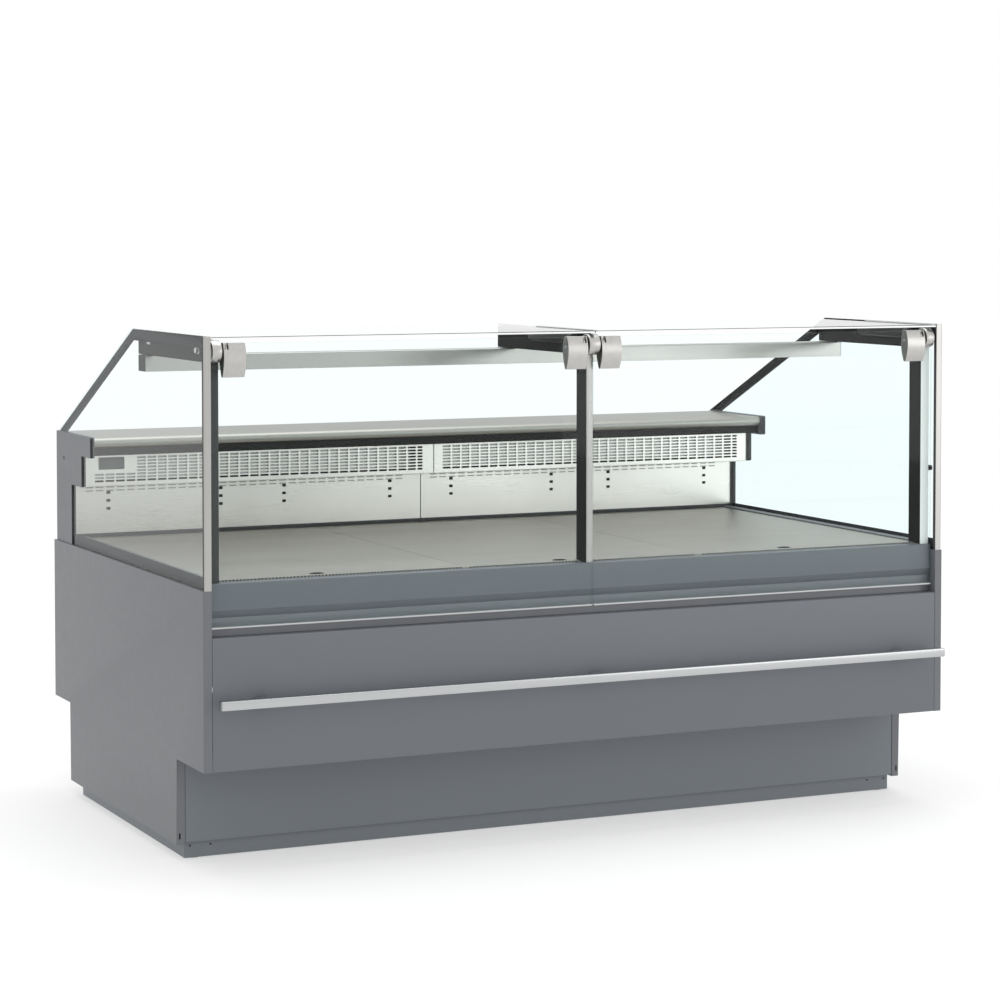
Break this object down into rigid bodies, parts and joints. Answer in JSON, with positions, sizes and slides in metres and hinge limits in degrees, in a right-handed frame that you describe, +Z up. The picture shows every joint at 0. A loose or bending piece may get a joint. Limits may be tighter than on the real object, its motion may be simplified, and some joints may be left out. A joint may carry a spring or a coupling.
{
  "type": "refrigerated deli counter",
  "caption": "Refrigerated serve-over deli counter with upright lift-up front glasses, flat display deck, rear worktop and a bumper rail on a recessed plinth.",
  "frame": {"origin": "centre of the footprint box on the floor, the bumper rail included", "axes": "+X along the counter, from left to right as the customer sees it; +Y from the customer's side to the operator's side; +Z up"},
  "size_m": [2.04, 1.289, 1.264],
  "materials": {
    "grey_paint": "satin powder coat, mid grey",
    "end_grey": "satin moulded ends in the body's mid grey",
    "stainless": "fine brushed stainless sheet",
    "hinge_alloy": "satin machined alloy",
    "black_coat": "black satin coating",
    "black_plastic": "dark moulded plastic",
    "clear_glass": "clear toughened glass, polished edges",
    "galvanised": "galvanised sheet",
    "coil_aluminium": "bare fins",
    "liner_white": "white liner over foam"
  },
  "bodies": {
    "case": {"kick_skirt": "grey_paint", "plinth_panel_front": "grey_paint", "plinth_grille_rear": "grey_paint", "front_panel": "grey_paint", "front_capping": "grey_paint", "rear_panel": "grey_paint", "end_panel_left": "end_grey", "end_panel_right": "end_grey", "cheek_left": "end_grey", "cheek_right": "end_grey", "bumper_rail": "stainless", "deck_frame": "stainless", "back_panel_left": "stainless", "back_panel_right": "stainless", "air_grille_left": "stainless", "air_grille_right": "stainless", "worktop": "stainless", "edge_profile_left": "stainless", "edge_profile_right": "stainless", "light_bar": "stainless", "post_left": "stainless", "post_right": "stainless", "post_centre": "stainless", "arm_left": "black_coat", "arm_right": "black_coat", "arm_centre": "black_coat", "counterbalance_left": "black_coat", "counterbalance_right": "black_coat", "compressor": "black_coat", "foot_front_left": "black_plastic", "foot_rear_left": "black_plastic", "foot_front_right": "black_plastic", "foot_rear_right": "black_plastic", "plenum_cap": "black_plastic", "temperature_display": "black_plastic", "control_panel": "black_plastic", "side_glass_left": "clear_glass", "side_glass_right": "clear_glass", "top_glass_left": "clear_glass", "top_glass_right": "clear_glass", "base_frame": "galvanised", "fan_plate": "galvanised", "evaporator_coil": "coil_aluminium", "condenser_coil": "coil_aluminium", "insulated_tub": "liner_white"},
    "front_glass_leaf_left": {"front_glass_left": "clear_glass", "glass_trim_left": "stainless", "glass_clamp_left_end": "hinge_alloy", "glass_clamp_left_centre": "hinge_alloy"},
    "front_glass_leaf_right": {"front_glass_right": "clear_glass", "glass_trim_right": "stainless", "glass_clamp_right_end": "hinge_alloy", "glass_clamp_right_centre": "hinge_alloy"},
    "deck_plate_left_body": {"deck_plate_left": "stainless"},
    "deck_plate_centre_body": {"deck_plate_centre": "stainless"},
    "deck_plate_right_body": {"deck_plate_right": "stainless"},
    "evaporator_fan_left_rotor": {"evaporator_fan_left": "black_plastic"},
    "evaporator_fan_right_rotor": {"evaporator_fan_right": "black_plastic"},
    "condenser_fan_rotor": {"condenser_fan": "black_plastic"},
    "light_switch_rocker": {"light_switch": "black_plastic"}
  },
  "joints": [
    {"name": "front_glass_left_hinge", "type": "hinge", "parent": "case", "child": "front_glass_leaf_left", "pos_m": [-0.5, -0.5625, 1.2275], "axis": [-1, 0, 0], "range_deg": [0, 85]},
    {"name": "front_glass_right_hinge", "type": "hinge", "parent": "case", "child": "front_glass_leaf_right", "pos_m": [0.5, -0.5625, 1.2275], "axis": [-1, 0, 0], "range_deg": [0, 85]},
    {"name": "deck_plate_left_lift", "type": "slide", "parent": "case", "child": "deck_plate_left_body", "axis": [0, 0, 1], "range_m": [0, 0.12]},
    {"name": "deck_plate_centre_lift", "type": "slide", "parent": "case", "child": "deck_plate_centre_body", "axis": [0, 0, 1], "range_m": [0, 0.12]},
    {"name": "deck_plate_right_lift", "type": "slide", "parent": "case", "child": "deck_plate_right_body", "axis": [0, 0, 1], "range_m": [0, 0.12]},
    {"name": "evaporator_fan_left_spin", "type": "hinge", "parent": "case", "child": "evaporator_fan_left_rotor", "pos_m": [-0.3, -0.175, 0.575], "axis": [0, 1, 0], "continuous": true},
    {"name": "evaporator_fan_right_spin", "type": "hinge", "parent": "case", "child": "evaporator_fan_right_rotor", "pos_m": [0.3, -0.175, 0.575], "axis": [0, 1, 0], "continuous": true},
    {"name": "condenser_fan_spin", "type": "hinge", "parent": "case", "child": "condenser_fan_rotor", "pos_m": [0.01, 0.345, 0.228], "axis": [0, 1, 0], "continuous": true},
    {"name": "light_switch_rock", "type": "hinge", "parent": "case", "child": "light_switch_rocker", "pos_m": [-0.665, 0.6155, 0.805], "axis": [1, 0, 0], "range_deg": [0, 12]}
  ]
}
